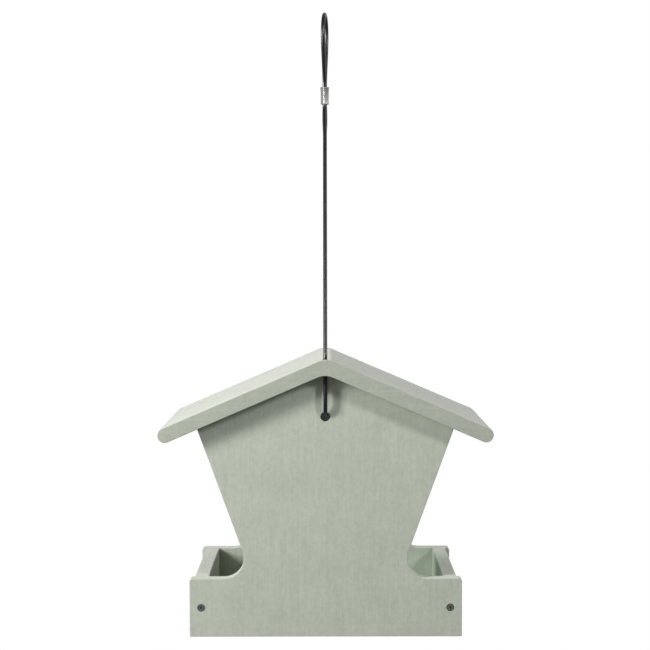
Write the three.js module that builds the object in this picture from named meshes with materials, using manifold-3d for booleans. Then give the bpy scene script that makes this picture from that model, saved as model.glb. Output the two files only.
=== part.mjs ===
// A hanging hopper bird feeder: two gable boards, a bent chevron roof, two tray rails, a floor,
// two clear windows that hold the seed back, and a coated steel cable closed into a hanging loop.
//
// Millimetres. X runs across the gables, Y from the front gable to the rear one, +Z up.
// The feeder is drawn with z = 0 at its underside, and the whole group is then lowered, so that
// the origin is where a hook bears on the hanging loop.
import * as THREE from "three";
import { mergeVertices } from "three/addons/utils/BufferGeometryUtils.js";
import Module from "manifold-3d";

const wasm = await Module();
wasm.setup();

// Driving dimensions
const BOARD = 15; // thickness of every composite board
const BODY_WIDTH = 280; // across the tray end of a gable
const BODY_DEPTH = 198; // outer face to outer face of the gables
const RIM_HEIGHT = 60; // underside to tray rim
const WAIST = 75; // half width of the gable's slanted part, carried down to the rim
const SLANT = THREE.MathUtils.degToRad(20.1); // lean of the gable's sides from upright
const NOTCH_RADIUS = 21; // hollow between the rim and the slanted side
const RIM_CORNER_RADIUS = 3;

const ROOF_APEX = 287.5; // where the planes of the roof's top faces meet
const ROOF_PITCH = THREE.MathUtils.degToRad(23.2);
const ROOF_RUN = 180.8; // along the slope, from that apex to the centre of the round eave
const ROOF_OVERHANG = 16; // past the gables, front and rear
const RIDGE_RADIUS = 19; // of the bend, above and below

const RAIL_INSET = 4.5; // rail's outer face, inside the gable's outer edge
const RAIL_SCREW_HEIGHT = 30;
const FLOOR_THICKNESS = 9;
const FLOOR_UNDERSIDE = 8;
const GROOVE_DEPTH = 5; // floor's tongue into each gable and rail
const DRAIN_RADIUS = 3;
const DRAIN_ROW_X = 86;
const DRAIN_PITCH = 36;

const WINDOW_THICKNESS = 2.4;
const WINDOW_TONGUE = 4; // into each gable
const WINDOW_INBOARD = 13; // centre of the pane from the gable's slanted side
const WINDOW_BOTTOM = 34; // leaves the gap that the seed runs through
const WINDOW_PLAY = 4.5; // along the groove, up to the closed roof

const CABLE_RADIUS = 2.1;
const GABLE_HOLE_RADIUS = 4.9;
const GABLE_HOLE_HEIGHT = 226.7;
const CABLE_OUT = 105; // upright part of a cable leg, from the middle of the feeder
const ROOF_HOLE_RADIUS = 3.3;
const FERRULE_BOTTOM = 553;
const FERRULE_TOP = 571.5;
const FERRULE_TURN = THREE.MathUtils.degToRad(-8); // ferrule and loop, turned about the upright
const HANG_HEIGHT = 647; // underside of the feeder to the hook's bearing point

const GAP = 0.3; // between pieces that touch

// Worked out from the above
const slantTan = Math.tan(SLANT);
const slantCos = Math.cos(SLANT);
const pitchTan = Math.tan(ROOF_PITCH);
const pitchCos = Math.cos(ROOF_PITCH);
const pitchSin = Math.sin(ROOF_PITCH);
const halfWidth = BODY_WIDTH / 2;
const outerFace = BODY_DEPTH / 2;
const innerFace = outerFace - BOARD;
const railCentre = halfWidth - RAIL_INSET - BOARD / 2;
const railInner = railCentre - BOARD / 2;
const floorTop = FLOOR_UNDERSIDE + FLOOR_THICKNESS;

const composite = new THREE.MeshStandardMaterial({ color: 0xb2b9ab, roughness: 0.75, metalness: 0 });
const acrylic = new THREE.MeshStandardMaterial({
  color: 0xe8eeee, roughness: 0.1, metalness: 0, transparent: true, opacity: 0.3,
});
const sheath = new THREE.MeshStandardMaterial({ color: 0x1c1d20, roughness: 0.4, metalness: 0 });
const aluminium = new THREE.MeshStandardMaterial({ color: 0xb9bbbd, roughness: 0.35, metalness: 1 });
const steel = new THREE.MeshStandardMaterial({ color: 0x8f9294, roughness: 0.4, metalness: 1 });
const darkSteel = new THREE.MeshStandardMaterial({ color: 0x4a4b4c, roughness: 0.45, metalness: 0.8 });

// ---------------------------------------------------------------- solids

function toSolid(geometry) {
  const bare = geometry.index ? geometry.toNonIndexed() : geometry.clone();
  bare.deleteAttribute("normal");
  bare.deleteAttribute("uv");
  const merged = mergeVertices(bare, 1e-5);
  return new wasm.Manifold(new wasm.Mesh({
    numProp: 3,
    vertProperties: new Float32Array(merged.attributes.position.array),
    triVerts: new Uint32Array(merged.index.array),
  }));
}

function toGeometry(solid) {
  const mesh = solid.getMesh();
  const geometry = new THREE.BufferGeometry();
  geometry.setAttribute("position", new THREE.BufferAttribute(mesh.vertProperties, 3));
  geometry.setIndex(new THREE.BufferAttribute(mesh.triVerts, 1));
  geometry.computeVertexNormals();
  return geometry;
}

function cut(base, cutters) {
  return toGeometry(cutters.reduce((solid, cutter) => solid.subtract(toSolid(cutter)), toSolid(base)));
}

// An outline in X and Z, made as thick as depth along Y and centred on y = middle.
function board(outline, depth, middle = 0) {
  const geometry = new THREE.ExtrudeGeometry(outline, { depth, bevelEnabled: false, curveSegments: 10 });
  return geometry.rotateX(Math.PI / 2).translate(0, middle + depth / 2, 0);
}

function block(low, high) {
  const size = high.map((value, axis) => value - low[axis]);
  const centre = high.map((value, axis) => (value + low[axis]) / 2);
  return new THREE.BoxGeometry(...size).translate(...centre);
}

// A turned solid on the line x = x, z = z. Its profile is [radius, distance in from the outer face of
// the gable on that side], so one profile serves front (-1) and rear (+1).
function turned(profile, side, x, z, segments = 20) {
  const points = profile.map(([radius, inward]) => new THREE.Vector2(radius, inward - outerFace));
  const geometry = new THREE.LatheGeometry(points, segments);
  if (side > 0) {
    geometry.rotateZ(Math.PI);
  }
  return geometry.translate(x, 0, z);
}

function rod(radius, from, to) {
  return [[0, from], [radius, from], [radius, to], [0, to]];
}

function ring(inner, outer, from, to) {
  return [[inner, from], [outer, from], [outer, to], [inner, to], [inner, from]];
}

// ---------------------------------------------------------------- outlines

// A point on the gable's slanted right side, moved inboard at right angles to it.
function slantPoint(z, inboard = 0) {
  return { x: WAIST + (z - RIM_HEIGHT) * slantTan - inboard / slantCos, z };
}

// Height of the plane that lies `below` under the roof's top face, at the middle of the feeder.
function roofPlane(below) {
  return ROOF_APEX - below / pitchCos;
}

// The bend over the ridge, from the left slope to the right one or back again.
function ridgeBend(shape, below, radius, leftToRight) {
  const centre = roofPlane(below) - radius / pitchCos;
  const left = Math.PI / 2 + ROOF_PITCH;
  const right = Math.PI / 2 - ROOF_PITCH;
  shape.absarc(0, centre, radius, leftToRight ? left : right, leftToRight ? right : left, leftToRight);
}

function gableOutline() {
  const underRoof = BOARD + GAP;
  const eave = roofPlane(underRoof);
  const shoulderZ = (eave - (WAIST - RIM_HEIGHT * slantTan) * pitchTan) / (1 + slantTan * pitchTan);
  const shoulder = slantPoint(shoulderZ);
  const notchZ = RIM_HEIGHT + NOTCH_RADIUS;
  const notchX = slantPoint(notchZ).x + NOTCH_RADIUS / slantCos;
  const cornerX = halfWidth - RIM_CORNER_RADIUS;
  const cornerZ = RIM_HEIGHT - RIM_CORNER_RADIUS;

  const shape = new THREE.Shape();
  shape.moveTo(-halfWidth, 0);
  shape.lineTo(halfWidth, 0);
  shape.absarc(cornerX, cornerZ, RIM_CORNER_RADIUS, 0, Math.PI / 2, false);
  shape.absarc(notchX, notchZ, NOTCH_RADIUS, 1.5 * Math.PI, Math.PI - SLANT, true);
  shape.lineTo(shoulder.x, shoulder.z);
  ridgeBend(shape, underRoof, RIDGE_RADIUS - GAP, false);
  shape.lineTo(-shoulder.x, shoulder.z);
  shape.absarc(-notchX, notchZ, NOTCH_RADIUS, SLANT, -Math.PI / 2, true);
  shape.absarc(-cornerX, cornerZ, RIM_CORNER_RADIUS, Math.PI / 2, Math.PI, false);
  shape.closePath();
  return shape;
}

function roofOutline() {
  const round = BOARD / 2;
  const eaveX = ROOF_RUN * pitchCos - round * pitchSin;
  const eaveZ = ROOF_APEX - ROOF_RUN * pitchSin - round * pitchCos;
  const quarter = Math.PI / 2;

  const shape = new THREE.Shape();
  ridgeBend(shape, 0, RIDGE_RADIUS, true);
  shape.absarc(eaveX, eaveZ, round, quarter - ROOF_PITCH, -quarter - ROOF_PITCH, true);
  ridgeBend(shape, BOARD, RIDGE_RADIUS, false);
  shape.absarc(-eaveX, eaveZ, round, 3 * quarter + ROOF_PITCH, quarter + ROOF_PITCH, true);
  shape.closePath();
  return shape;
}

// ---------------------------------------------------------------- boards

const SCREW = { head: 3.8, rim: 0.8, neck: 3.4, shank: 2, tip: 42, length: 45 };

// Flat countersunk head, plain shank and point. `grow` makes the hole that the screw sits in.
function screwProfile(grow = 0) {
  const top = grow > 0 ? -1 : GAP;
  return [
    [0, top],
    [SCREW.head + grow, top],
    [SCREW.head + grow, SCREW.rim + grow],
    [SCREW.shank + grow, SCREW.neck + grow],
    [SCREW.shank + grow, SCREW.tip],
    [0, SCREW.length + grow],
  ];
}

function railScrewHole(side, railSide) {
  return turned(screwProfile(GAP), side, railSide * railCentre, RAIL_SCREW_HEIGHT);
}

// A pane, or the groove it runs in: a slab parallel to the gable's slanted side.
function slantedSlab(railSide, thickness, halfLength, bottom, length) {
  const foot = slantPoint(bottom, WINDOW_INBOARD);
  const slab = new THREE.BoxGeometry(thickness, 2 * halfLength, length).translate(0, 0, length / 2);
  return slab.rotateY(railSide * SLANT).translate(railSide * foot.x, 0, foot.z);
}

function gable(side) {
  const grooveOpen = side * (innerFace - 1);
  const floorGroove = side * (innerFace + GROOVE_DEPTH + GAP);
  const reach = railInner + GROOVE_DEPTH + 2 * GAP;
  const cutters = [
    block(
      [-reach, Math.min(grooveOpen, floorGroove), FLOOR_UNDERSIDE - GAP],
      [reach, Math.max(grooveOpen, floorGroove), floorTop + GAP],
    ),
    turned(rod(GABLE_HOLE_RADIUS, -1, BOARD + 1), side, 0, GABLE_HOLE_HEIGHT, 28),
  ];
  for (const railSide of [-1, 1]) {
    const groove = slantedSlab(
      railSide, WINDOW_THICKNESS + 2 * GAP, innerFace + WINDOW_TONGUE + GAP, WINDOW_BOTTOM - GAP, 240,
    );
    cutters.push(groove, railScrewHole(side, railSide));
  }
  return cut(board(gableOutline(), BOARD, side * (innerFace + BOARD / 2)), cutters);
}

function trayRail(railSide) {
  const halfLength = innerFace - GAP;
  const half = BOARD / 2;
  const rail = block([railCentre - half, -halfLength, 0], [railCentre + half, halfLength, RIM_HEIGHT]);
  const groove = block(
    [railInner - 1, -halfLength - 1, FLOOR_UNDERSIDE - GAP],
    [railInner + GROOVE_DEPTH + GAP, halfLength + 1, floorTop + GAP],
  );
  if (railSide < 0) {
    rail.rotateZ(Math.PI);
    groove.rotateZ(Math.PI);
  }
  return cut(rail, [groove, railScrewHole(-1, railSide), railScrewHole(1, railSide)]);
}

function floorBoard() {
  const halfX = railInner + GROOVE_DEPTH;
  const halfY = innerFace + GROOVE_DEPTH;
  const drains = [];
  for (const railSide of [-1, 1]) {
    for (const place of [-2, -1, 0, 1, 2]) {
      const drain = new THREE.CylinderGeometry(DRAIN_RADIUS, DRAIN_RADIUS, 4 * FLOOR_THICKNESS, 16);
      drain.rotateX(Math.PI / 2);
      drains.push(drain.translate(railSide * DRAIN_ROW_X, place * DRAIN_PITCH, floorTop));
    }
  }
  return cut(block([-halfX, -halfY, FLOOR_UNDERSIDE], [halfX, halfY, floorTop]), drains);
}

// The pane stops WINDOW_PLAY short of the roof's underside, measured along its groove.
function windowPane(railSide) {
  const foot = slantPoint(WINDOW_BOTTOM, WINDOW_INBOARD);
  const toRoof = (roofPlane(BOARD) - foot.x * pitchTan - foot.z) / (slantCos + Math.sin(SLANT) * pitchTan);
  return slantedSlab(
    railSide, WINDOW_THICKNESS, innerFace + WINDOW_TONGUE, WINDOW_BOTTOM, toRoof - WINDOW_PLAY,
  );
}

function roof() {
  const depth = BODY_DEPTH + 2 * ROOF_OVERHANG;
  const holes = [-1, 1].map((side) => {
    const hole = new THREE.CylinderGeometry(ROOF_HOLE_RADIUS, ROOF_HOLE_RADIUS, 80, 20);
    return hole.rotateX(Math.PI / 2).translate(0, side * CABLE_OUT, ROOF_APEX);
  });
  return cut(board(roofOutline(), depth), holes);
}

// ---------------------------------------------------------------- cable and its fittings

// Points are [out from the middle of the feeder, height]. The legs mirror each other.
// Lower leg: from its stop inside the hopper, out through the gable, up and into the roof's hole.
const LOWER_LEG = [
  [66, 227.4], [73, 227.4], [80, 227.4], [87, 227.4], [91, 227.4], [94.7, 227.4], [97, 227.7],
  [99.2, 228.6], [101.1, 230], [102.5, 231.9], [103.2, 233.5], [104, 236], [104.6, 239], [104.9, 242],
  [105, 245], [105, 253], [105, 262], [105, 272], [105, 282],
];
// Upper leg: out of the roof, then straight to the ferrule.
const UPPER_LEG = [
  [105, 282.3], [105, 286], [104.4, 290.2], [102.9, 294.6], [89.8, 327.9], [76.8, 361.2], [63.7, 394.5],
  [50.7, 427.7], [37.6, 461], [24.6, 494.3], [14.5, 520], [9, 534], [6, 541.6], [3.8, 547], [2.6, 550],
  [2.3, 552.6],
];
// Half of the hanging loop, from the ferrule to its top.
const LOOP_HALF = [
  [2.3, 571.9], [2.3, 576], [4.2, 585], [7, 594], [9.8, 603], [12.3, 612], [14, 620.5], [14.4, 628],
  [13.2, 635.5], [10.4, 642], [5.8, 647], [0, 649.1],
];
const TUBE_STEPS = { lowerLeg: 18, upperLeg: 14, loop: 16 };
const SWING_REACH = 12; // over which an upper leg swings to its own strand of the turned ferrule

function cableTube(points, steps) {
  const section = new THREE.Shape(new THREE.Path().absarc(0, 0, CABLE_RADIUS, 0, 2 * Math.PI).getPoints(5));
  const places = points.map((point) => new THREE.Vector3(...point));
  const path = new THREE.CatmullRomCurve3(places, false, "centripetal");
  return new THREE.ExtrudeGeometry(section, { steps, extrudePath: path, bevelEnabled: false });
}

function legPoints(points, side) {
  return points.map(([out, height]) => [0, side * out, height]);
}

function upperLegPoints(side) {
  const strandOut = UPPER_LEG.at(-1)[0];
  return UPPER_LEG.map(([out, height]) => {
    const swing = FERRULE_TURN * Math.max(0, 1 - (out - strandOut) / SWING_REACH);
    return [-side * out * Math.sin(swing), side * out * Math.cos(swing), height];
  });
}

function loopPoints() {
  const rise = LOOP_HALF.map(([out, height]) => [0, -out, height]);
  const fall = LOOP_HALF.slice(0, -1).reverse().map(([out, height]) => [0, out, height]);
  return [...rise, ...fall];
}

// Crimped sleeve with six flats, longer across the two strands than over them.
function ferrule() {
  const corners = [[0, -6.4], [4.5, -2.9], [4.5, 2.9], [0, 6.4], [-4.5, 2.9], [-4.5, -2.9]];
  const section = new THREE.Shape(corners.map(([x, y]) => new THREE.Vector2(x, y)));
  const depth = FERRULE_TOP - FERRULE_BOTTOM;
  return new THREE.ExtrudeGeometry(section, { depth, bevelEnabled: false }).translate(0, 0, FERRULE_BOTTOM);
}

const STOP = { washerRadius: 9, washerThickness: 1.5, radius: 4.6, length: 12, bore: CABLE_RADIUS + GAP };
const stopHeight = LOWER_LEG[0][1];

// Washer between the inside of the gable and the cable's crimped stop.
function stopWasher(side) {
  const near = BOARD + GAP;
  const profile = ring(STOP.bore, STOP.washerRadius, near, near + STOP.washerThickness);
  return turned(profile, side, 0, stopHeight, 24);
}

function cableStop(side) {
  const near = BOARD + 2 * GAP + STOP.washerThickness;
  return turned(ring(STOP.bore, STOP.radius, near, near + STOP.length), side, 0, stopHeight, 16);
}

// ---------------------------------------------------------------- assembly

const feeder = new THREE.Group();
feeder.position.z = -HANG_HEIGHT;

function add(name, geometry, material, group = feeder) {
  const mesh = new THREE.Mesh(geometry, material);
  mesh.name = name;
  group.add(mesh);
}

add("front_gable", gable(-1), composite);
add("rear_gable", gable(1), composite);
add("left_tray_rail", trayRail(-1), composite);
add("right_tray_rail", trayRail(1), composite);
add("floor_board", floorBoard(), composite);
add("roof", roof(), composite);
add("left_window", windowPane(-1), acrylic);
add("right_window", windowPane(1), acrylic);

const ENDS = [["front", -1], ["rear", 1]];
const SIDES = [["left", -1], ["right", 1]];
for (const [end, side] of ENDS) {
  for (const [hand, railSide] of SIDES) {
    const screw = turned(screwProfile(), side, railSide * railCentre, RAIL_SCREW_HEIGHT);
    add(`rail_screw_${end}_${hand}`, screw, darkSteel);
  }
  add(`cable_${end}_lower_leg`, cableTube(legPoints(LOWER_LEG, side), TUBE_STEPS.lowerLeg), sheath);
  add(`cable_${end}_upper_leg`, cableTube(upperLegPoints(side), TUBE_STEPS.upperLeg), sheath);
  add(`cable_stop_${end}`, cableStop(side), aluminium);
  add(`stop_washer_${end}`, stopWasher(side), steel);
}

const hanger = new THREE.Group();
hanger.rotation.z = FERRULE_TURN;
feeder.add(hanger);
add("hanging_loop", cableTube(loopPoints(), TUBE_STEPS.loop), sheath, hanger);
add("ferrule", ferrule(), aluminium, hanger);

const model = new THREE.Group();
model.add(feeder);

export default model;
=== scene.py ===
import math

import bmesh
import bpy
from mathutils import Matrix, Vector


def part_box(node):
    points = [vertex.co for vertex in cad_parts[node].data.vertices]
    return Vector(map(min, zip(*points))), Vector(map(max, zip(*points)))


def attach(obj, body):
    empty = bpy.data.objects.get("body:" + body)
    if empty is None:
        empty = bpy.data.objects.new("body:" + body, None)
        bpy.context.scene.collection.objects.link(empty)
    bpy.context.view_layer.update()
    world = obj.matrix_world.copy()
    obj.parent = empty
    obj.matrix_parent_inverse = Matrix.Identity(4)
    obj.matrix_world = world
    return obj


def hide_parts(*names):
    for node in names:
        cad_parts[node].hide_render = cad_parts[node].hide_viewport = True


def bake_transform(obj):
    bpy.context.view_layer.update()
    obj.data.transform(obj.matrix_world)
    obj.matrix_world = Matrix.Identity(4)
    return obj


# A hanging hopper bird feeder: two gable boards, a chevron roof, two tray rails, a floor, two clear
# windows, and a coated cable closed into a hanging loop. Metres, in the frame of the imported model.
# Shapes are drawn with heights from the feeder's underside and lowered to UNDERSIDE when they are made.

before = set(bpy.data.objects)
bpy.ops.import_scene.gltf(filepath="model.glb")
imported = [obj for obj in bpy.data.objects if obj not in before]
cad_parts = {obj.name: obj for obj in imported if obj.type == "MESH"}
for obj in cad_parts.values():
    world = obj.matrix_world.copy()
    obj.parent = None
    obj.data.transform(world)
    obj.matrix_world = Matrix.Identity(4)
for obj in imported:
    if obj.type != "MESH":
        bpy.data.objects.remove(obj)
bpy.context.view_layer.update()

MM = 0.001

# ---------------------------------------------------------------- sizes from the frame

gable_low, gable_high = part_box("front_gable")
_, roof_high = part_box("roof")
rail_low, rail_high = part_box("right_tray_rail")
floor_low, floor_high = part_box("floor_board")
ferrule_low, ferrule_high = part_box("ferrule")
_, window_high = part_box("right_window")

UNDERSIDE = gable_low.z
HALF_WIDTH = gable_high.x
OUTER_FACE = -gable_low.y
INNER_FACE = -gable_high.y
BOARD = OUTER_FACE - INNER_FACE
ROOF_HALF_DEPTH = roof_high.y
RAIL_INNER = rail_low.x
RAIL_OUTER = rail_high.x
RAIL_CENTRE = (RAIL_INNER + RAIL_OUTER) / 2
RIM_HEIGHT = rail_high.z - UNDERSIDE
FLOOR_UNDERSIDE = floor_low.z - UNDERSIDE
FLOOR_TOP = floor_high.z - UNDERSIDE
WINDOW_HALF_LENGTH = window_high.y
FERRULE_BOTTOM = ferrule_low.z - UNDERSIDE
FERRULE_TOP = ferrule_high.z - UNDERSIDE

# ---------------------------------------------------------------- driving values of the shapes

WAIST = 75 * MM  # half width of the gable's slanted part, carried down to the rim
SLANT = math.radians(20.1)
NOTCH_RADIUS = 21 * MM
RIM_CORNER_RADIUS = 3 * MM
ROOF_APEX = 287.5 * MM
ROOF_PITCH = math.radians(23.2)
ROOF_RUN = 180.8 * MM
RIDGE_RADIUS = 19 * MM
EASE = 0.8 * MM  # rounding of every board's edges
CORNER = 1.4 * MM  # rounding of its corners, seen square on
SHORTEST_EDGE = 0.25 * MM  # of a rounded corner
GAP = 0.3 * MM
RAIL_END_EASE = 1.3 * MM  # leaves a narrow dark joint where a rail meets a gable

GROOVE_DEPTH = 5 * MM
RAIL_SCREW_HEIGHT = 30 * MM
DRAIN_RADIUS = 3 * MM
DRAIN_ROW_X = 86 * MM
DRAIN_PITCH = 36 * MM
DRAIN_PLACES = (-2, -1, 0, 1, 2)
DRAIN_CHAMFER = 0.4 * MM
FLOOR_EASE = 0.4 * MM
WINDOW_THICKNESS = 2.4 * MM
WINDOW_TONGUE = 4 * MM
WINDOW_INBOARD = 13 * MM
WINDOW_BOTTOM = 34 * MM
WINDOW_PLAY = 4.5 * MM
PANE_EASE = 0.3 * MM
PANE_CORNER = 1 * MM
GROOVE_LENGTH = 240 * MM  # long enough to run out through the gable's top

CABLE_RADIUS = 2.1 * MM
CABLE_OUT = 105 * MM
GABLE_HOLE_RADIUS = 4.9 * MM
GABLE_HOLE_HEIGHT = 226.7 * MM
GABLE_HOLE_CHAMFER = 0.35 * MM
ROOF_HOLE_RADIUS = 3.3 * MM
ROOF_CUT_MARGIN_UNDER = 30 * MM  # the holes' cutters run clear of the sloping board
ROOF_CUT_MARGIN_OVER = 10 * MM
FERRULE_TURN = math.radians(-8)

FRONT_AND_REAR = (("front", -1), ("rear", 1))
LEFT_AND_RIGHT = (("left", -1), ("right", 1))

# ---------------------------------------------------------------- camera

CAMERA_BACK = 1.7408  # in front of the front gable
CAMERA_HEIGHT = 0.3952  # over the underside
CAMERA_YAW = math.radians(0.04)
CAMERA_PITCH = math.radians(-2.45)
CAMERA_ROLL = math.radians(0.11)
CAMERA_LENS = 94.59  # millimetres, as the sensor's width is
CAMERA_SENSOR = 36
CAMERA_RIGHT = 0.001  # of the middle of the feeder


def add_camera():
    camera = bpy.data.objects.new("camera", bpy.data.cameras.new("camera"))
    bpy.context.scene.collection.objects.link(camera)
    camera.data.lens = CAMERA_LENS
    camera.data.sensor_width = CAMERA_SENSOR
    turn = Matrix.Rotation(CAMERA_YAW, 4, "Z") @ Matrix.Rotation(CAMERA_PITCH, 4, "X")
    level = Matrix.Rotation(math.pi / 2, 4, "X")
    spot = Vector((CAMERA_RIGHT, -OUTER_FACE - CAMERA_BACK, UNDERSIDE + CAMERA_HEIGHT))
    camera.matrix_world = Matrix.Translation(spot) @ turn @ Matrix.Rotation(CAMERA_ROLL, 4, "Y") @ level
    bpy.context.scene.camera = camera


add_camera()

# ---------------------------------------------------------------- mesh helpers

lower_to_frame = Matrix.Translation((0, 0, UNDERSIDE))


def piece(name, builder, matrix=lower_to_frame):
    """A new object from a bmesh, which is drawn with heights from the underside."""
    bmesh.ops.recalc_face_normals(builder, faces=builder.faces)
    mesh = bpy.data.meshes.new(name)
    builder.to_mesh(mesh)
    builder.free()
    mesh.transform(matrix)
    obj = bpy.data.objects.new(name, mesh)
    bpy.context.scene.collection.objects.link(obj)
    return obj


def bridge(builder, rings, closed_ends=True):
    """Skins a list of rings of points, each the same length, into one tube with flat ends."""
    loops = [[builder.verts.new(point) for point in ring] for ring in rings]
    count = len(loops[0])
    for near, far in zip(loops, loops[1:]):
        for i in range(count):
            j = (i + 1) % count
            builder.faces.new((near[i], near[j], far[j], far[i]))
    if closed_ends:
        builder.faces.new(list(reversed(loops[0])))
        builder.faces.new(loops[-1])
    return builder


def rounded(corners, step=math.radians(3.5)):
    """A closed outline through (across, up, radius) corners, counter-clockwise, each rounded by an arc."""
    outline = []
    for i, (across, up, radius) in enumerate(corners):
        here = Vector((across, up))
        back = (Vector(corners[i - 1][:2]) - here).normalized()
        onward = (Vector(corners[(i + 1) % len(corners)][:2]) - here).normalized()
        if radius == 0:
            outline.append(here)
            continue
        turn = math.pi - back.angle(onward)
        centre = here + (back + onward).normalized() * radius / math.cos(turn / 2)
        start = here + back * radius * math.tan(turn / 2) - centre
        way = 1 if onward.cross(back) > 0 else -1
        count = max(3, math.ceil(min(turn / step, turn * radius / SHORTEST_EDGE)))
        for k in range(count + 1):
            spoke = start.copy()
            spoke.rotate(Matrix.Rotation(way * turn * k / count, 2))
            outline.append(centre + spoke)
    return [point for i, point in enumerate(outline) if (point - outline[i - 1]).length > SHORTEST_EDGE / 4]


def shrunk(outline, inset):
    """The outline moved inward by inset, square to its edges."""
    moved = []
    for i, point in enumerate(outline):
        along = (point - outline[i - 1]).normalized()
        onward = (outline[(i + 1) % len(outline)] - point).normalized()
        out_before = Vector((along.y, -along.x))
        out_after = Vector((onward.y, -onward.x))
        moved.append(point - (out_before + out_after) * inset / (1 + out_before.dot(out_after)))
    return moved


def eased_slab(outline, low, high, ease, to_point, segments=3):
    """The outline carried from low to high, both rims rounded off. to_point places (across, up, along)."""
    profile = []
    for k in range(segments + 1):
        angle = k / segments * math.pi / 2
        profile.append((ease * (1 - math.sin(angle)), ease * (1 - math.cos(angle))))
    levels = [(inset, low + rise) for inset, rise in profile]
    levels += [(inset, high - rise) for inset, rise in reversed(profile)]
    rings = [[to_point(p.x, p.y, along) for p in shrunk(outline, inset)] for inset, along in levels]
    return bridge(bmesh.new(), rings)


def along_y(across, up, along):
    return (across, along, up)


def along_z(across, up, along):
    return (across, up, along)


def ring_round_y(radius_at, inward, side, x, z, segments):
    """Points round a line along Y, that far in from the outer face of the gable on that side, so that one
    profile serves the front (-1) and the rear (+1). radius_at gives the radius at an angle."""
    along = side * (OUTER_FACE - inward)
    ring = []
    for i in range(segments):
        angle = 2 * math.pi * i / segments
        radius = radius_at(angle)
        ring.append((x + radius * math.cos(angle), along, z + radius * math.sin(angle)))
    return ring


def turned(profile, side, x, z, segments=40):
    """A closed solid turned about a line along Y. Profile points are (radius, distance inward)."""
    rings = []
    for radius, inward in profile:
        rings.append(ring_round_y(lambda angle, radius=radius: radius, inward, side, x, z, segments))
    return bridge(bmesh.new(), rings, closed_ends=profile[0] != profile[-1])


def cut(obj, cutters):
    """Subtracts each cutter from obj by an exact boolean, and removes the cutters."""
    for cutter in cutters:
        change = obj.modifiers.new("cut", "BOOLEAN")
        change.operation = "DIFFERENCE"
        change.solver = "EXACT"
        change.object = cutter
    bpy.context.view_layer.update()
    evaluated = obj.evaluated_get(bpy.context.evaluated_depsgraph_get())
    mesh = bpy.data.meshes.new_from_object(evaluated)
    obj.modifiers.clear()
    obj.data = mesh
    for cutter in cutters:
        bpy.data.objects.remove(cutter)
    return obj


def shade(obj, sharp_angle=math.radians(38), weighted=True):
    """Smooth shading with sharp edges past an angle; flat faces keep their flatness by weighted normals."""
    builder = bmesh.new()
    builder.from_mesh(obj.data)
    bmesh.ops.remove_doubles(builder, verts=builder.verts, dist=1e-6)
    bmesh.ops.dissolve_degenerate(builder, edges=builder.edges, dist=1e-6)
    for face in builder.faces:
        face.smooth = True
    for edge in builder.edges:
        edge.smooth = len(edge.link_faces) == 2 and edge.calc_face_angle(0) < sharp_angle
    builder.to_mesh(obj.data)
    builder.free()
    if weighted:
        normals = obj.modifiers.new("weighted_normals", "WEIGHTED_NORMAL")
        normals.keep_sharp = True
    return obj


# ---------------------------------------------------------------- outlines of the boards


def slant_point(height, inboard=0.0):
    """A point on the gable's slanted right side, moved inboard at right angles to it."""
    return Vector((WAIST + (height - RIM_HEIGHT) * math.tan(SLANT) - inboard / math.cos(SLANT), height))


def roof_plane(below):
    """Height, at the middle of the feeder, of the plane that lies below under the roof's top face."""
    return ROOF_APEX - below / math.cos(ROOF_PITCH)


def mirrored(right_side):
    """Corners from bottom right to top right, followed by their mirror image, counter-clockwise."""
    return right_side + [(-across, up, radius) for across, up, radius in reversed(right_side)]


def gable_outline():
    under_roof = roof_plane(BOARD + GAP)
    pitch = math.tan(ROOF_PITCH)
    lean = math.tan(SLANT)
    shoulder_height = (under_roof - (WAIST - RIM_HEIGHT * lean) * pitch) / (1 + lean * pitch)
    shoulder = slant_point(shoulder_height)
    corners = mirrored([
        (HALF_WIDTH, 0.0, CORNER),
        (HALF_WIDTH, RIM_HEIGHT, RIM_CORNER_RADIUS),
        (WAIST, RIM_HEIGHT, NOTCH_RADIUS),
        (shoulder.x, shoulder.y, CORNER),
    ])
    corners.insert(4, (0.0, under_roof, RIDGE_RADIUS - GAP))
    return rounded(corners)


def roof_outline():
    end = ROOF_RUN + BOARD / 2
    round_end = BOARD / 2
    down = Vector((math.cos(ROOF_PITCH), -math.sin(ROOF_PITCH)))
    inward = Vector((-math.sin(ROOF_PITCH), -math.cos(ROOF_PITCH)))
    outer = Vector((0, ROOF_APEX)) + down * end
    inner = outer + inward * BOARD
    return rounded([
        (0.0, ROOF_APEX, RIDGE_RADIUS),
        (-outer.x, outer.y, round_end),
        (-inner.x, inner.y, round_end),
        (0.0, roof_plane(BOARD), RIDGE_RADIUS),
        (inner.x, inner.y, round_end),
        (outer.x, outer.y, round_end),
    ])


# ---------------------------------------------------------------- cable

# Points are [out from the middle of the feeder, height], in millimetres.
LOWER_LEG = [
    [66, 227.4], [73, 227.4], [80, 227.4], [87, 227.4], [91, 227.4], [94.7, 227.4], [97, 227.7],
    [99.2, 228.6], [101.1, 230], [102.5, 231.9], [103.2, 233.5], [104, 236], [104.6, 239], [104.9, 242],
    [105, 245], [105, 253], [105, 262], [105, 272], [105, 282],
]
UPPER_LEG = [
    [105, 282.3], [105, 286], [104.4, 290.2], [102.9, 294.6], [89.8, 327.9], [76.8, 361.2], [63.7, 394.5],
    [50.7, 427.7], [37.6, 461], [24.6, 494.3], [14.5, 520], [9, 534], [6, 541.6], [3.8, 547], [2.6, 550],
    [2.3, 552.6],
]
LOOP_HALF = [
    [2.3, 571.9], [2.3, 576], [4.2, 585], [7, 594], [9.8, 603], [12.3, 612], [14, 620.5], [14.4, 628],
    [13.2, 635.5], [10.4, 642], [5.8, 647], [0, 649.1],
]
STRAND_OUT = UPPER_LEG[-1][0]
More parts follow.
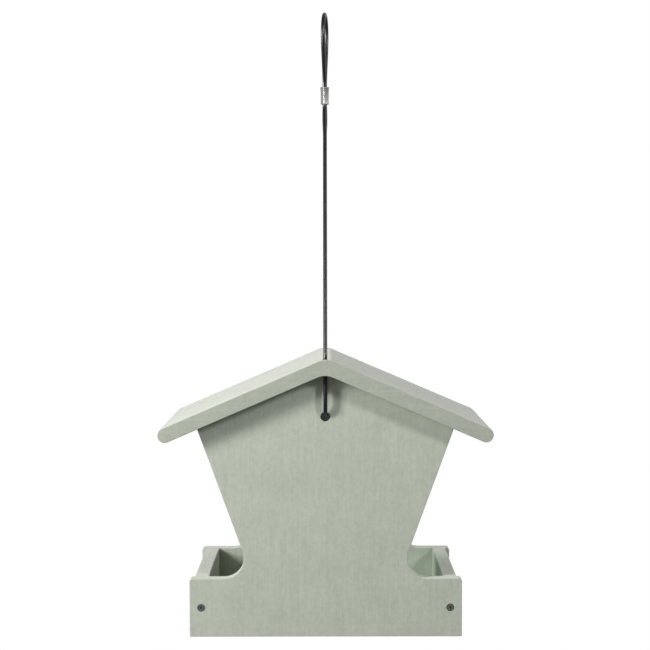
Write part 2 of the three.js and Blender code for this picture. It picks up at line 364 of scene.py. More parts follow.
LOWER_BLEND_START = 9  # the point of a lower leg that is paired with the body
UPPER_BLEND_START = 1  # the point of an upper leg that is paired with the roof
UPPER_BLEND_END = 11  # and the one that is paired with the body
SWING_REACH = 12  # over which an upper leg swings to its own strand of the turned ferrule
STRAND_IN_FERRULE = 2.2 * MM
CABLE_SIDES = 28
CABLE_STEP = 1.6 * MM
CABLE_END_EASE = 0.25 * MM


def centripetal(points, spacing):
    """A smooth line through the points, sampled about every spacing."""
    padded = [2 * points[0] - points[1], *points, 2 * points[-1] - points[-2]]
    line = []
    for a, b, c, d in zip(padded, padded[1:], padded[2:], padded[3:]):
        t1 = math.sqrt((b - a).length)
        t2 = t1 + math.sqrt((c - b).length)
        t3 = t2 + math.sqrt((d - c).length)
        count = max(1, round((c - b).length / spacing))
        for k in range(count):
            t = t1 + (t2 - t1) * k / count
            ab = a.lerp(b, t / t1)
            bc = b.lerp(c, (t - t1) / (t2 - t1))
            cd = c.lerp(d, (t - t2) / (t3 - t2))
            abc = ab.lerp(bc, t / t2)
            bcd = bc.lerp(cd, (t - t1) / (t3 - t1))
            line.append(abc.lerp(bcd, (t - t1) / (t2 - t1)))
    line.append(points[-1])
    return line


def swept(path, radius, sides):
    """A round tube along the path, with no twist and slightly eased ends."""
    tangents = []
    for i in range(len(path)):
        tangents.append((path[min(i + 1, len(path) - 1)] - path[max(i - 1, 0)]).normalized())
    across = tangents[0].orthogonal().normalized()
    rings = []
    for i, (point, tangent) in enumerate(zip(path, tangents)):
        across = (across - tangent * across.dot(tangent)).normalized()
        other = tangent.cross(across)
        at_end = i in (0, len(path) - 1)
        reach = radius - (CABLE_END_EASE if at_end else 0)
        ring = []
        for k in range(sides):
            angle = 2 * math.pi * k / sides
            ring.append(point + (across * math.cos(angle) + other * math.sin(angle)) * reach)
        rings.append(ring)
    return bridge(bmesh.new(), rings)


def cable_piece(name, points, body_ends, replaced):
    """One stretch of the cable as a tube that replaces its CAD solid."""
    line = centripetal(points, CABLE_STEP)
    obj = piece(name, swept(line, CABLE_RADIUS, CABLE_SIDES))
    shade(obj, weighted=False)
    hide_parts(replaced)
    if len(body_ends) == 2:
        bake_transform(obj)
    else:
        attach(obj, body_ends[0])
    return obj


def leg_point(side, out, height):
    return Vector((0, side * out, height)) * MM


def upper_leg_point(side, out, height):
    swing = FERRULE_TURN * max(0, 1 - (out - STRAND_OUT) / SWING_REACH)
    return Vector((-side * out * math.sin(swing), side * out * math.cos(swing), height)) * MM


def cable():
    pieces = []
    for end, side in FRONT_AND_REAR:
        lower = [leg_point(side, *point) for point in LOWER_LEG]
        bend_top = lower[LOWER_BLEND_START]
        pieces.append(cable_piece(
            f"cable_{end}_lower_leg_sheath", lower,
            (("feeder_body", bend_top), ("roof", lower[-1])), f"cable_{end}_lower_leg",
        ))
        upper = [upper_leg_point(side, *point) for point in UPPER_LEG]
        upper.append(upper[-1] + Vector((0, 0, STRAND_IN_FERRULE)))
        straight_start = upper[UPPER_BLEND_START]
        straight_end = upper[UPPER_BLEND_END]
        pieces.append(cable_piece(
            f"cable_{end}_upper_leg_sheath", upper,
            (("roof", straight_start), ("feeder_body", straight_end)), f"cable_{end}_upper_leg",
        ))
    turn = Matrix.Rotation(FERRULE_TURN, 4, "Z")
    rise = [turn @ leg_point(-1, *point) for point in LOOP_HALF]
    fall = [turn @ leg_point(1, *point) for point in reversed(LOOP_HALF[:-1])]
    inside = Vector((0, 0, STRAND_IN_FERRULE))
    loop = [rise[0] - inside, *rise, *fall, fall[-1] - inside]
    pieces.append(cable_piece("hanging_loop_sheath", loop, ("feeder_body",), "hanging_loop"))
    return pieces


cable_pieces = cable()

# ---------------------------------------------------------------- boards


def block(low, high):
    """A plain box, used only as a cutter."""
    builder = bmesh.new()
    bmesh.ops.create_cube(builder, size=1)
    size = Vector(high) - Vector(low)
    middle = (Vector(high) + Vector(low)) / 2
    shape = Matrix.Translation(middle) @ Matrix.Diagonal((*size, 1))
    bmesh.ops.transform(builder, matrix=shape, verts=builder.verts)
    return piece("cutter", builder)


SCREW_HEAD = 3.8 * MM
SCREW_RIM = 0.8 * MM
SCREW_NECK = 3.4 * MM
SCREW_SHANK = 2 * MM
SCREW_TIP = 42 * MM
SCREW_LENGTH = 45 * MM
SCREW_POINT = 0.05 * MM  # radius at the very tip
SCREW_RIM_EASE = 0.25 * MM
SCREW_NECK_WAIST = 0.25 * MM  # the plain neck is this much thinner in radius than the shank
RECESS_RADIUS = 1.5 * MM
RECESS_LOBE = 0.28 * MM  # how far its six lobes stand out from that radius
RECESS_DEPTH = 1.5 * MM
RECESS_POINT = 0.4 * MM  # further in, where it has narrowed to RECESS_NARROWED
RECESS_NARROWED = 0.55
RECESS_SIDES = 72
CUTTER_PROUD = 1 * MM
ON_AXIS = 1e-5  # the radius at which a turned cutter closes


def screw_hole(side, rail_side):
    profile = [
        (ON_AXIS, -CUTTER_PROUD),
        (SCREW_HEAD + GAP, -CUTTER_PROUD),
        (SCREW_HEAD + GAP, SCREW_RIM + GAP),
        (SCREW_SHANK + GAP, SCREW_NECK + GAP),
        (SCREW_SHANK + GAP, SCREW_TIP),
        (ON_AXIS, SCREW_LENGTH + GAP),
    ]
    return piece("cutter", turned(profile, side, rail_side * RAIL_CENTRE, RAIL_SCREW_HEIGHT))


def window_place(rail_side, bottom):
    """Where a pane or its groove stands: its foot at that height, leaning with the gable's slanted side."""
    foot = slant_point(bottom, WINDOW_INBOARD)
    lean = Matrix.Rotation(rail_side * SLANT, 4, "Y")
    return Matrix.Translation((rail_side * foot.x, 0, foot.y)) @ lean


def groove_cutter(rail_side):
    thickness = WINDOW_THICKNESS + 2 * GAP
    half_length = INNER_FACE + WINDOW_TONGUE + GAP
    builder = bmesh.new()
    bmesh.ops.create_cube(builder, size=1)
    size = Matrix.Diagonal((thickness, 2 * half_length, GROOVE_LENGTH, 1))
    shape = Matrix.Translation((0, 0, GROOVE_LENGTH / 2)) @ size
    place = window_place(rail_side, WINDOW_BOTTOM - GAP)
    bmesh.ops.transform(builder, matrix=place @ shape, verts=builder.verts)
    return piece("cutter", builder)


def cable_hole(side):
    """Through the gable, with its rim broken by a small chamfer."""
    chamfer = GABLE_HOLE_CHAMFER
    profile = [
        (ON_AXIS, -CUTTER_PROUD),
        (GABLE_HOLE_RADIUS + chamfer + CUTTER_PROUD, -CUTTER_PROUD),
        (GABLE_HOLE_RADIUS, chamfer),
        (GABLE_HOLE_RADIUS, BOARD - chamfer),
        (GABLE_HOLE_RADIUS + chamfer + CUTTER_PROUD, BOARD + CUTTER_PROUD),
        (ON_AXIS, BOARD + CUTTER_PROUD),
    ]
    return piece("cutter", turned(profile, side, 0, GABLE_HOLE_HEIGHT, segments=48))


def gable(end, side):
    near, far = sorted((side * OUTER_FACE, side * INNER_FACE))
    board = piece(f"{end}_gable_board", eased_slab(gable_outline(), near, far, EASE, along_y))
    groove_open = side * (INNER_FACE - CUTTER_PROUD)
    groove_end = side * (INNER_FACE + GROOVE_DEPTH + GAP)
    reach = RAIL_INNER + GROOVE_DEPTH + 2 * GAP
    floor_groove = block(
        (-reach, min(groove_open, groove_end), FLOOR_UNDERSIDE - GAP),
        (reach, max(groove_open, groove_end), FLOOR_TOP + GAP),
    )
    cutters = [floor_groove, cable_hole(side)]
    for _, rail_side in LEFT_AND_RIGHT:
        cutters += [groove_cutter(rail_side), screw_hole(side, rail_side)]
    cut(board, cutters)
    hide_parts(f"{end}_gable")
    return board, "feeder_body", "upright"


def tray_rail(hand, rail_side):
    corners = [
        (RAIL_INNER, 0.0, EASE),
        (RAIL_OUTER, 0.0, EASE),
        (RAIL_OUTER, RIM_HEIGHT, CORNER),
        (RAIL_INNER, RIM_HEIGHT, CORNER),
        (RAIL_INNER, FLOOR_TOP + GAP, 0),
        (RAIL_INNER + GROOVE_DEPTH + GAP, FLOOR_TOP + GAP, 0),
        (RAIL_INNER + GROOVE_DEPTH + GAP, FLOOR_UNDERSIDE - GAP, 0),
        (RAIL_INNER, FLOOR_UNDERSIDE - GAP, 0),
    ]
    half_length = INNER_FACE - GAP
    builder = eased_slab(rounded(corners), -half_length, half_length, RAIL_END_EASE, along_y)
    if rail_side < 0:
        bmesh.ops.rotate(builder, matrix=Matrix.Rotation(math.pi, 3, "Z"), verts=builder.verts)
    board = piece(f"{hand}_tray_rail_board", builder)
    cut(board, [screw_hole(-1, rail_side), screw_hole(1, rail_side)])
    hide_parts(f"{hand}_tray_rail")
    return board, "feeder_body", "lengthwise"


def upright_hole(across, along, profile, segments):
    """A cutter for a round hole straight down. Profile points are (radius, height)."""
    rings = []
    for radius, height in profile:
        ring = []
        for i in range(segments):
            angle = 2 * math.pi * i / segments
            ring.append((across + radius * math.cos(angle), along + radius * math.sin(angle), height))
        rings.append(ring)
    return piece("cutter", bridge(bmesh.new(), rings))


def floor():
    half_x = RAIL_INNER + GROOVE_DEPTH
    half_y = INNER_FACE + GROOVE_DEPTH
    outline = rounded([
        (half_x, -half_y, CORNER), (half_x, half_y, CORNER),
        (-half_x, half_y, CORNER), (-half_x, -half_y, CORNER),
    ])
    board = piece("floor_board_drained", eased_slab(outline, FLOOR_UNDERSIDE, FLOOR_TOP, FLOOR_EASE, along_z))
    chamfer = DRAIN_CHAMFER
    profile = [
        (DRAIN_RADIUS + chamfer + CUTTER_PROUD, FLOOR_UNDERSIDE - CUTTER_PROUD),
        (DRAIN_RADIUS, FLOOR_UNDERSIDE + chamfer),
        (DRAIN_RADIUS, FLOOR_TOP - chamfer),
        (DRAIN_RADIUS + chamfer + CUTTER_PROUD, FLOOR_TOP + CUTTER_PROUD),
    ]
    cutters = []
    for _, rail_side in LEFT_AND_RIGHT:
        for place in DRAIN_PLACES:
            spot = (rail_side * DRAIN_ROW_X, place * DRAIN_PITCH)
            cutters.append(upright_hole(*spot, profile, segments=32))
    cut(board, cutters)
    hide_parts("floor_board")
    return board, "feeder_body", "lengthwise"


def roof():
    slab = eased_slab(roof_outline(), -ROOF_HALF_DEPTH, ROOF_HALF_DEPTH, EASE, along_y)
    board = piece("roof_board", slab)
    under, over = roof_plane(BOARD) - ROOF_CUT_MARGIN_UNDER, ROOF_APEX + ROOF_CUT_MARGIN_OVER
    profile = [(ROOF_HOLE_RADIUS, under), (ROOF_HOLE_RADIUS, over)]
    cut(board, [upright_hole(0.0, side * CABLE_OUT, profile, segments=40) for _, side in FRONT_AND_REAR])
    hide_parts("roof")
    return board, "roof", "roof"


boards = [gable(end, side) for end, side in FRONT_AND_REAR]
boards += [tray_rail(hand, rail_side) for hand, rail_side in LEFT_AND_RIGHT]
boards += [floor(), roof()]

# ---------------------------------------------------------------- windows


def window(hand, rail_side):
    """A pane with polished faces and eased edges, short of the roof by WINDOW_PLAY along its groove."""
    foot = slant_point(WINDOW_BOTTOM, WINDOW_INBOARD)
    to_roof = roof_plane(BOARD) - foot.x * math.tan(ROOF_PITCH) - foot.y
    length = to_roof / (math.cos(SLANT) + math.sin(SLANT) * math.tan(ROOF_PITCH)) - WINDOW_PLAY
    outline = rounded([
        (WINDOW_HALF_LENGTH, 0.0, PANE_CORNER), (WINDOW_HALF_LENGTH, length, PANE_CORNER),
        (-WINDOW_HALF_LENGTH, length, PANE_CORNER), (-WINDOW_HALF_LENGTH, 0.0, PANE_CORNER),
    ])
    half = WINDOW_THICKNESS / 2

    def upright_pane(along, up, across):
        return (across, along, up)

    builder = eased_slab(outline, -half, half, PANE_EASE, upright_pane, segments=2)
    bmesh.ops.transform(builder, matrix=window_place(rail_side, WINDOW_BOTTOM), verts=builder.verts)
    pane = piece(f"{hand}_window_pane", builder)
    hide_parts(f"{hand}_window")
    return pane


windows = [(window(hand, rail_side), f"{hand}_window") for hand, rail_side in LEFT_AND_RIGHT]

# ---------------------------------------------------------------- fittings

THREAD_PITCH = 1.8 * MM
THREAD_DEPTH = 0.55 * MM
THREAD_STEPS = 6
THREAD_STEEPNESS = 3.2  # of a crest's flanks, per pitch
THREAD_START = 14 * MM
SCREW_SIDES = 32


def screw(end, hand, side, rail_side):
    """Countersunk head with a six-lobed recess, plain neck, thread and point."""
    spot = (side, rail_side * RAIL_CENTRE, RAIL_SCREW_HEIGHT)
    neck = SCREW_SHANK - SCREW_NECK_WAIST
    # rim, cone, and a soft step down to the plain neck
    head = [
        (SCREW_HEAD - SCREW_RIM_EASE, GAP), (SCREW_HEAD, GAP + 0.2 * MM), (SCREW_HEAD, SCREW_RIM),
        (SCREW_SHANK + 0.1 * MM, SCREW_NECK - 0.1 * MM), (neck, SCREW_NECK + 0.3 * MM),
        (neck, THREAD_START - THREAD_PITCH),
    ]
    rings = []
    for radius, inward in head:
        rings.append(ring_round_y(lambda angle, radius=radius: radius, inward, *spot, SCREW_SIDES))
    steps = round((SCREW_LENGTH - THREAD_START) / THREAD_PITCH * THREAD_STEPS)
    for k in range(steps):
        inward = THREAD_START + k * THREAD_PITCH / THREAD_STEPS
        taper = min(1, (SCREW_LENGTH - inward) / (SCREW_LENGTH - SCREW_TIP))
        start = min(1, k / (2 * THREAD_STEPS))

        def threaded(angle, k=k, taper=taper, start=start):
            phase = (k / THREAD_STEPS - angle / (2 * math.pi)) % 1
            crest = max(0, 1 - abs(phase - 0.5) * THREAD_STEEPNESS)
            root = (SCREW_SHANK - THREAD_DEPTH) * taper
            return max(SCREW_POINT, root + THREAD_DEPTH * crest * start * taper)

        rings.append(ring_round_y(threaded, inward, *spot, SCREW_SIDES))
    obj = piece(f"rail_screw_{end}_{hand}_lobed", bridge(bmesh.new(), rings))
    floor_of_recess = GAP + RECESS_DEPTH
    levels = (
        (-CUTTER_PROUD, 1.0), (floor_of_recess, 1.0), (floor_of_recess + RECESS_POINT, RECESS_NARROWED),
    )
    lobes = []
    for inward, scale in levels:

        def lobed(angle, scale=scale):
            return (RECESS_RADIUS + RECESS_LOBE * math.cos(6 * angle)) * scale

        lobes.append(ring_round_y(lobed, inward, *spot, RECESS_SIDES))
    cut(obj, [piece("cutter", bridge(bmesh.new(), lobes))])
    shade(obj, sharp_angle=math.radians(50))
    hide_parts(f"rail_screw_{end}_{hand}")
    return obj


screws = [
    screw(end, hand, side, rail_side) for end, side in FRONT_AND_REAR for hand, rail_side in LEFT_AND_RIGHT
]

STOP_BORE = CABLE_RADIUS + GAP
STOP_RADIUS = 4.6 * MM
STOP_LENGTH = 12 * MM
WASHER_RADIUS = 9 * MM
WASHER_THICKNESS = 1.5 * MM
STOP_HEIGHT = LOWER_LEG[0][1] * MM
STOP_EASE = 0.5 * MM
STOP_BANDS = 24
STOP_DENTS = 6  # round the sleeve, in each row
DENT_ROWS = (0.3, 0.7)  # shares of the sleeve's length
DENT_SPREAD = 0.1
DENT_DEPTH = 0.45 * MM


def ring_profile(inner, outer, near, far, ease):
    """A flat ring with eased outer and inner rims."""
    mid = 0.3 * ease
    return [
        (inner + ease, near), (outer - ease, near), (outer - mid, near + mid), (outer, near + ease),
        (outer, far - ease), (outer - mid, far - mid), (outer - ease, far), (inner + ease, far),
        (inner, far - ease), (inner, near + ease), (inner + ease, near),
    ]


def washer(end, side):
    near = BOARD + GAP
    profile = ring_profile(STOP_BORE, WASHER_RADIUS, near, near + WASHER_THICKNESS, 0.3 * MM)
    obj = shade(piece(f"stop_washer_{end}_turned", turned(profile, side, 0, STOP_HEIGHT, segments=56)))
    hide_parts(f"stop_washer_{end}")
    return obj


def cable_stop(end, side):
    """A sleeve crimped on the cable's end: two rows of six dents round it."""
    near = BOARD + 2 * GAP + WASHER_THICKNESS
    far = near + STOP_LENGTH
    profile = ring_profile(STOP_BORE, STOP_RADIUS, near, far, STOP_EASE)
    straight = STOP_LENGTH - 2 * STOP_EASE
    profile[4:4] = [(STOP_RADIUS, near + STOP_EASE + straight * k / STOP_BANDS) for k in range(1, STOP_BANDS)]
    builder = turned(profile, side, 0, STOP_HEIGHT, segments=60)
    for vertex in builder.verts:
        x, y, z = vertex.co
        inward = OUTER_FACE - abs(y)
        radius = math.hypot(x, z - STOP_HEIGHT)
        on_outside = radius >= STOP_RADIUS - 0.05 * MM
        if not on_outside:
            continue
        angle = math.atan2(z - STOP_HEIGHT, x)
        dent = 0.0
        for row in DENT_ROWS:
            along = (inward - near) / STOP_LENGTH - row
            round_it = 0.5 + 0.5 * math.cos(STOP_DENTS * angle)
            dent += math.exp(-((along / DENT_SPREAD) ** 2)) * round_it * DENT_DEPTH
        vertex.co.x = x * (1 - dent / radius)
        vertex.co.z = STOP_HEIGHT + (z - STOP_HEIGHT) * (1 - dent / radius)
    obj = shade(piece(f"cable_stop_{end}_crimped", builder))
    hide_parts(f"cable_stop_{end}")
    return obj


washers = [washer(end, side) for end, side in FRONT_AND_REAR]
stops = [cable_stop(end, side) for end, side in FRONT_AND_REAR]


FERRULE_HALF_LONG = 6.4 * MM
FERRULE_HALF_WIDE = 4.5 * MM
FERRULE_HALF_FLAT = 2.9 * MM
FERRULE_POINT_ROUND = 0.9 * MM
FERRULE_FLAT_ROUND = 0.5 * MM
FERRULE_EASE = 0.4 * MM
FERRULE_FOOT = 0.93  # its lower end's width as a share of its upper end's
FERRULE_PRESS = 0.3 * MM  # how deep the sides are pressed in halfway up
FERRULE_BANDS = 30
BORE_DEPTH = 2.6 * MM
BORE_CLEARANCE = 0.15 * MM
BORE_STEPS = 24


def ferrule():
    """Six-sided crimped sleeve over both strands, narrower below, its sides pressed in between the ends."""
    point, wide, flat = FERRULE_HALF_LONG, FERRULE_HALF_WIDE, FERRULE_HALF_FLAT
    corners = []
    for way in (-1, 1):
        corners += [
            (0.0, way * point, FERRULE_POINT_ROUND),
            (-way * wide, way * flat, FERRULE_FLAT_ROUND),
            (-way * wide, -way * flat, FERRULE_FLAT_ROUND),
        ]
    outline = rounded(corners, step=math.radians(12))
    ease = FERRULE_EASE
    height = FERRULE_TOP - FERRULE_BOTTOM
    levels = [(ease, 0.0), (0.3 * ease, 0.3 * ease), (0.0, ease)]
    for k in range(1, FERRULE_BANDS):
        share = k / FERRULE_BANDS
        press = FERRULE_PRESS * math.sin(math.pi * share) ** 0.6
        levels.append((press, ease + (height - 2 * ease) * share))
    levels += [(0.0, height - ease), (0.3 * ease, height - 0.3 * ease), (ease, height)]
    rings = []
    for inset, up in levels:
        narrowed = FERRULE_FOOT + (1 - FERRULE_FOOT) * up / height
        ring = shrunk(outline, inset)
        rings.append([(p.x * narrowed, p.y * narrowed, FERRULE_BOTTOM + up) for p in ring])
    obj = piece("ferrule_crimped", bridge(bmesh.new(), rings))
    bores = []
    bore_radius = CABLE_RADIUS + BORE_CLEARANCE
    for low, high in ((-CUTTER_PROUD, BORE_DEPTH), (height - BORE_DEPTH, height + CUTTER_PROUD)):
        points_low, points_high = [], []
        outer = STRAND_OUT * MM
        for _, side in FRONT_AND_REAR:
            for i in range(BORE_STEPS + 1):
                angle = side * math.pi / 2 + (i / BORE_STEPS - 0.5) * math.pi
                across = bore_radius * math.cos(angle)
                along = side * outer + bore_radius * math.sin(angle)
                points_low.append((across, along, FERRULE_BOTTOM + low))
                points_high.append((across, along, FERRULE_BOTTOM + high))
        bores.append(piece("cutter", bridge(bmesh.new(), [points_low, points_high])))
    cut(obj, bores)
    shade(obj, sharp_angle=math.radians(45))
    obj.data.transform(Matrix.Rotation(FERRULE_TURN, 4, "Z"))
    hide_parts("ferrule")
    return obj


ferrule_piece = ferrule()

# ---------------------------------------------------------------- materials


class Finish:
    """One material's node tree: a Principled shader, and short calls that add and wire nodes."""

    def __init__(self, name, **values):
        self.material = bpy.data.materials.new(name)
        self.material.use_nodes = True
        self.tree = self.material.node_tree
        self.shader = self.tree.nodes["Principled BSDF"]
        self.output = self.tree.nodes["Material Output"]
        for socket, value in values.items():
            self.shader.inputs[socket.replace("_", " ")].default_value = value

    def node(self, kind, settings=(), **inputs):
        made = self.tree.nodes.new(kind)
        for name, value in dict(settings).items():
            setattr(made, name, value)
        for name, value in inputs.items():
            socket = made.inputs[int(name[1:])] if name[0] == "_" else made.inputs[name.replace("_", " ")]
            if isinstance(value, bpy.types.NodeSocket):
                self.tree.links.new(value, socket)
            else:
                socket.default_value = value
        return made

    def place(self, scale=(1, 1, 1), offset=(0, 0, 0)):
        """Points of the object in its own frame, stretched by scale, for the noises to read."""
        source = self.node("ShaderNodeTexCoord").outputs["Object"]
        return self.node("ShaderNodeMapping", Vector=source, Scale=scale, Location=offset).outputs["Vector"]

    def noise(self, place, scale, detail, roughness):
        settings = {"Scale": scale, "Detail": detail, "Roughness": roughness}
        return self.node("ShaderNodeTexNoise", Vector=place, **settings).outputs["Fac"]

    def math(self, operation, first, second=0.0, third=0.0):
        made = self.node("ShaderNodeMath", {"operation": operation}, _0=first, _1=second, _2=third)
        return made.outputs[0]

    def remap(self, value, low, high, to_low, to_high):
        """value, taken from low..high to to_low..to_high, and held there."""
        made = self.node("ShaderNodeMapRange", Value=value)
        for index, number in enumerate((low, high, to_low, to_high), start=1):
            made.inputs[index].default_value = number
        return made.outputs["Result"]

    def blend(self, factor, first, second):
        """The colour first where factor is 0 and second where it is 1."""
        made = self.node("ShaderNodeMix", {"data_type": "RGBA"}, _0=factor, _6=first, _7=second)
        return made.outputs[2]

    def link(self, value, socket):
        self.tree.links.new(value, self.shader.inputs[socket])

    def bump(self, height, strength, distance):
        made = self.node("ShaderNodeBump", Height=height, Strength=strength, Distance=distance)
        self.link(made.outputs["Normal"], "Normal")


SAGE_DARK = (0.405, 0.450, 0.372, 1)
SAGE_LIGHT = (0.500, 0.545, 0.455, 1)
FLECK_DARK = (0.330, 0.360, 0.290, 1)
GRAIN_STRETCH = 0.035  # a noise's scale along the grain, as a share of its scale across it
FLECK_STRETCH = 0.22
CUT_END_SHADE = 0.86  # the roof's end faces are drawn a little darker than its other faces


def composite(name, along, offset, shade_by=1.0):
    """Moulded wood and plastic composite: fine grain along one axis, faint clouds, and small flecks."""
    finish = Finish(name, Roughness=0.6, IOR=1.46, Sheen_Weight=0.3, Sheen_Roughness=0.45)
    finish.shader.inputs["Sheen Tint"].default_value = (1.0, 0.965, 0.96, 1)
    dark, light = [[*(part * shade_by for part in colour[:3]), 1] for colour in (SAGE_DARK, SAGE_LIGHT)]
    stretch = [1.0, 1.0, 1.0]
    stretch["XYZ".index(along)] = GRAIN_STRETCH
    drawn = finish.place(stretch, offset)
    even = finish.place(offset=offset)
    noises = {}
    tone = 0.0
    # each noise is (where it is read, scale, detail, roughness, its share of the tone)
    for kind, (place, scale, detail, roughness, share) in {
        "grain": (drawn, 900, 3, 0.6, 0.26),
        "broad grain": (drawn, 240, 2, 0.5, 0.10),
        "clouds": (even, 30, 3, 0.5, 0.18),
        "mottle": (even, 190, 3, 0.65, 0.28),
        "speckle": (even, 1300, 2, 0.6, 0.18),
    }.items():
        noises[kind] = finish.noise(place, scale, detail, roughness)
        tone = finish.math("MULTIPLY_ADD", noises[kind], share, tone)
    colour = finish.blend(finish.remap(tone, 0.41, 0.59, 0.0, 1.0), dark, light)
    short = [1.0, 1.0, 1.0]
    short["XYZ".index(along)] = FLECK_STRETCH
    flecks = finish.noise(finish.place(short, offset), scale=620, detail=1, roughness=0.4)
    fleck_share = finish.remap(flecks, 0.68, 0.78, 0.0, 0.35)
    finish.link(finish.blend(fleck_share, colour, FLECK_DARK), "Base Color")
    finish.link(finish.remap(tone, 0.36, 0.64, 0.66, 0.54), "Roughness")
    drawn_height = finish.math("MULTIPLY", noises["grain"], 0.8)
    height = finish.math("MULTIPLY_ADD", noises["speckle"], 0.5, drawn_height)
    finish.bump(height, strength=0.35, distance=0.00012)
    return finish.material


def acrylic():
    """Clear pane. Lamps and scattered light pass straight through it, so what lies behind it is lit."""
    finish = Finish("clear_acrylic_sheet", Base_Color=(0.93, 0.96, 0.955, 1), Roughness=0.02, IOR=1.49)
    finish.shader.inputs["Transmission Weight"].default_value = 1.0
    smudge = finish.noise(finish.place(), scale=35, detail=4, roughness=0.6)
    finish.link(finish.remap(smudge, 0.45, 0.75, 0.015, 0.06), "Roughness")
    through = finish.node("ShaderNodeBsdfTransparent", Color=(0.92, 0.935, 0.925, 1))
    path = finish.node("ShaderNodeLightPath")
    unseen = finish.math("MAXIMUM", path.outputs["Is Shadow Ray"], path.outputs["Is Diffuse Ray"])
    mix = finish.node("ShaderNodeMixShader", _0=unseen)
    finish.tree.links.new(finish.shader.outputs[0], mix.inputs[1])
    finish.tree.links.new(through.outputs[0], mix.inputs[2])
    finish.tree.links.new(mix.outputs[0], finish.output.inputs["Surface"])
    return finish.material


def sheath():
    finish = Finish("cable_sheath_black", Roughness=0.3, IOR=1.6)
    wear = finish.noise(finish.place((1, 1, 0.2)), scale=900, detail=3, roughness=0.6)
    finish.link(finish.blend(wear, (0.004, 0.004, 0.006, 1), (0.009, 0.009, 0.013, 1)), "Base Color")
    finish.link(finish.remap(wear, 0.3, 0.7, 0.27, 0.34), "Roughness")
    finish.bump(wear, strength=0.05, distance=0.00005)
    return finish.material


def metal(name, dark, light, rough_low, rough_high, stretch, scale, bump):
    finish = Finish(name, Metallic=1.0)
    marks = finish.noise(finish.place(stretch), scale, detail=3, roughness=0.6)
    finish.link(finish.blend(marks, dark, light), "Base Color")
    finish.link(finish.remap(marks, 0.3, 0.7, rough_low, rough_high), "Roughness")
    finish.bump(marks, bump, distance=0.00008)
    return finish.material


composite_finish = {
    "upright": composite("composite_upright_grain", "Z", (0, 0, 0)),
    "lengthwise": composite("composite_lengthwise_grain", "Y", (0.31, 0.17, 0.05)),
    "roof": composite("composite_roof_grain", "Y", (0.53, 0.29, 0.71)),
    "cut_end": composite("composite_cut_end", "X", (0.11, 0.83, 0.37), CUT_END_SHADE),
}
for board, body, grain in boards:
    shade(board)
    board.data.materials.append(composite_finish[grain])
    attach(board, body)
    if grain == "roof":
        # the roof's end faces take the darker copy of the composite
        board.data.materials.append(composite_finish["cut_end"])
        for face in board.data.polygons:
            if abs(face.normal.y) > 0.5 and abs(face.center.y) > ROOF_HALF_DEPTH - EASE:
                face.material_index = 1

clear = acrylic()
for pane, body in windows:
    shade(pane)
    pane.data.materials.append(clear)
    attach(pane, body)

black = sheath()
for stretch_of_cable in cable_pieces:
    stretch_of_cable.data.materials.append(black)

aluminium = metal(
    "ferrule_satin_aluminium", (0.32, 0.32, 0.315, 1), (0.36, 0.36, 0.355, 1),
    rough_low=0.31, rough_high=0.34, stretch=(1, 1, 0.3), scale=700, bump=0.02,
)
zinc_steel = metal(
    "washer_zinc_steel", (0.46, 0.47, 0.48, 1), (0.62, 0.63, 0.64, 1),
    rough_low=0.30, rough_high=0.48, stretch=(1, 0.3, 1), scale=1200, bump=0.25,
)
dark_steel = metal(
    "screw_dark_steel", (0.16, 0.16, 0.163, 1), (0.42, 0.42, 0.425, 1),
    rough_low=0.42, rough_high=0.60, stretch=(1, 1, 1), scale=1500, bump=0.3,
)
fittings = [(ferrule_piece, aluminium, "ferrule_aluminium")]
fittings += [(obj, aluminium, "ferrule_aluminium") for obj in stops]
fittings += [(obj, zinc_steel, "washer_steel") for obj in washers]
fittings += [(obj, dark_steel, "screw_steel") for obj in screws]
for obj, finish, slot_name in fittings:
    obj.data.materials.append(finish)
    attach(obj, "feeder_body")

# ---------------------------------------------------------------- floor, lights and surroundings

FLOOR_DROP = 1.9  # the feeder hangs this far over the floor
FLOOR_RADIUS = 2.4
FLOOR_FADE = 0.5  # from here the floor fades out towards its rim
FLOOR_GONE = 0.96  # share of the radius at which it has faded out
AMBIENT_FRONT = 0.11
AMBIENT_BACKDROP = 0.95
AMBIENT_RANGE = (-0.1, 0.9)  # shares of the way to the back between which the light rises
AMBIENT_LEAN = 0.3  # how far the backdrop's light reaches round to the right


def studio_floor():
    builder = bmesh.new()
    bmesh.ops.create_circle(builder, cap_ends=True, segments=96, radius=FLOOR_RADIUS)
    disc = piece("studio_floor", builder, Matrix.Translation((0, 0, UNDERSIDE - FLOOR_DROP)))
    finish = Finish("studio_floor_pale", Roughness=0.8)
    grain = finish.noise(finish.place(), scale=40, detail=3, roughness=0.6)
    finish.link(finish.blend(grain, (0.76, 0.76, 0.75, 1), (0.80, 0.80, 0.79, 1)), "Base Color")
    flat = finish.place((1, 1, 0))
    span = finish.node("ShaderNodeVectorMath", {"operation": "LENGTH"}, _0=flat)
    share = finish.remap(span.outputs["Value"], FLOOR_FADE, FLOOR_RADIUS * FLOOR_GONE, 0.0, 1.0)
    clear_floor = finish.node("ShaderNodeBsdfTransparent")
    mix = finish.node("ShaderNodeMixShader", _0=share)
    finish.tree.links.new(finish.shader.outputs[0], mix.inputs[1])
    finish.tree.links.new(clear_floor.outputs[0], mix.inputs[2])
    finish.tree.links.new(mix.outputs[0], finish.output.inputs["Surface"])
    disc.data.materials.append(finish.material)


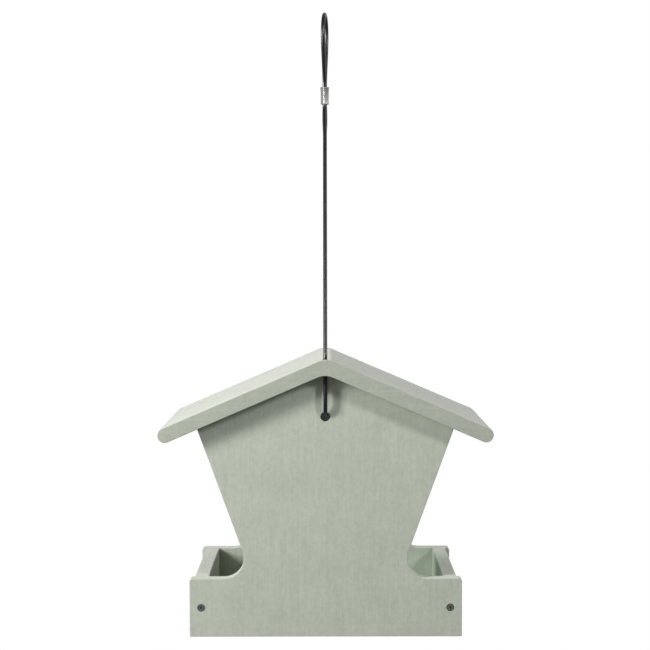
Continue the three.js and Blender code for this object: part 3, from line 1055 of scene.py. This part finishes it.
def softbox(name, spot, target, width, height, power):
    lamp = bpy.data.lights.new(name, "AREA")
    lamp.shape = "RECTANGLE"
    lamp.size = width
    lamp.size_y = height
    lamp.energy = power
    obj = bpy.data.objects.new(name, lamp)
    obj.visible_camera = False
    obj.location = spot
    obj.rotation_mode = "QUATERNION"
    obj.rotation_quaternion = (Vector(target) - Vector(spot)).to_track_quat("-Z", "Y")
    bpy.context.scene.collection.objects.link(obj)


def surroundings():
    """White to the eye. As light, a bright backdrop behind the feeder that falls off towards the front."""
    world = bpy.data.worlds.new("studio")
    bpy.context.scene.world = world
    world.use_nodes = True
    tree = world.node_tree
    lighting = tree.nodes["Background"]
    output = tree.nodes["World Output"]
    seen = tree.nodes.new("ShaderNodeBackground")
    seen.inputs["Color"].default_value = (1, 1, 1, 1)
    direction = tree.nodes.new("ShaderNodeTexCoord")
    split = tree.nodes.new("ShaderNodeSeparateXYZ")
    tree.links.new(direction.outputs["Generated"], split.inputs[0])
    fall = tree.nodes.new("ShaderNodeMapRange")
    for index, number in enumerate((*AMBIENT_RANGE, AMBIENT_FRONT, AMBIENT_BACKDROP), start=1):
        fall.inputs[index].default_value = number
    lean = tree.nodes.new("ShaderNodeMath")
    lean.operation = "MULTIPLY_ADD"
    tree.links.new(split.outputs["X"], lean.inputs[0])
    lean.inputs[1].default_value = AMBIENT_LEAN
    tree.links.new(split.outputs["Y"], lean.inputs[2])
    tree.links.new(lean.outputs[0], fall.inputs["Value"])
    tree.links.new(fall.outputs["Result"], lighting.inputs["Strength"])
    lighting.inputs["Color"].default_value = (1, 1, 1, 1)
    path = tree.nodes.new("ShaderNodeLightPath")
    either = tree.nodes.new("ShaderNodeMath")
    either.operation = "MAXIMUM"
    tree.links.new(path.outputs["Is Camera Ray"], either.inputs[0])
    tree.links.new(path.outputs["Is Transmission Ray"], either.inputs[1])
    mix = tree.nodes.new("ShaderNodeMixShader")
    tree.links.new(either.outputs[0], mix.inputs[0])
    tree.links.new(lighting.outputs[0], mix.inputs[1])
    tree.links.new(seen.outputs[0], mix.inputs[2])
    tree.links.new(mix.outputs[0], output.inputs["Surface"])


centre = Vector((0, -OUTER_FACE, UNDERSIDE + 200 * MM))


def from_centre(across, out, up, distance):
    """A spot at that distance from the middle of the front gable, in the direction of the three shares."""
    return centre + Vector((across, -out, up)).normalized() * distance


studio_floor()
surroundings()
softbox("key_softbox", from_centre(-2.1, 1, 0.8, 1.7), centre, width=0.31, height=0.60, power=37)
softbox("fill_softbox", from_centre(1.15, 1, 0.85, 2.2), centre, width=0.3, height=0.40, power=21)
softbox("front_softbox", from_centre(-0.35, 1, 0.45, 2.2), centre, width=1.0, height=1.0, power=4)

scene = bpy.context.scene
scene.view_settings.view_transform = "Standard"
scene.view_settings.look = "None"
scene.view_settings.exposure = 0
scene.view_settings.gamma = 1
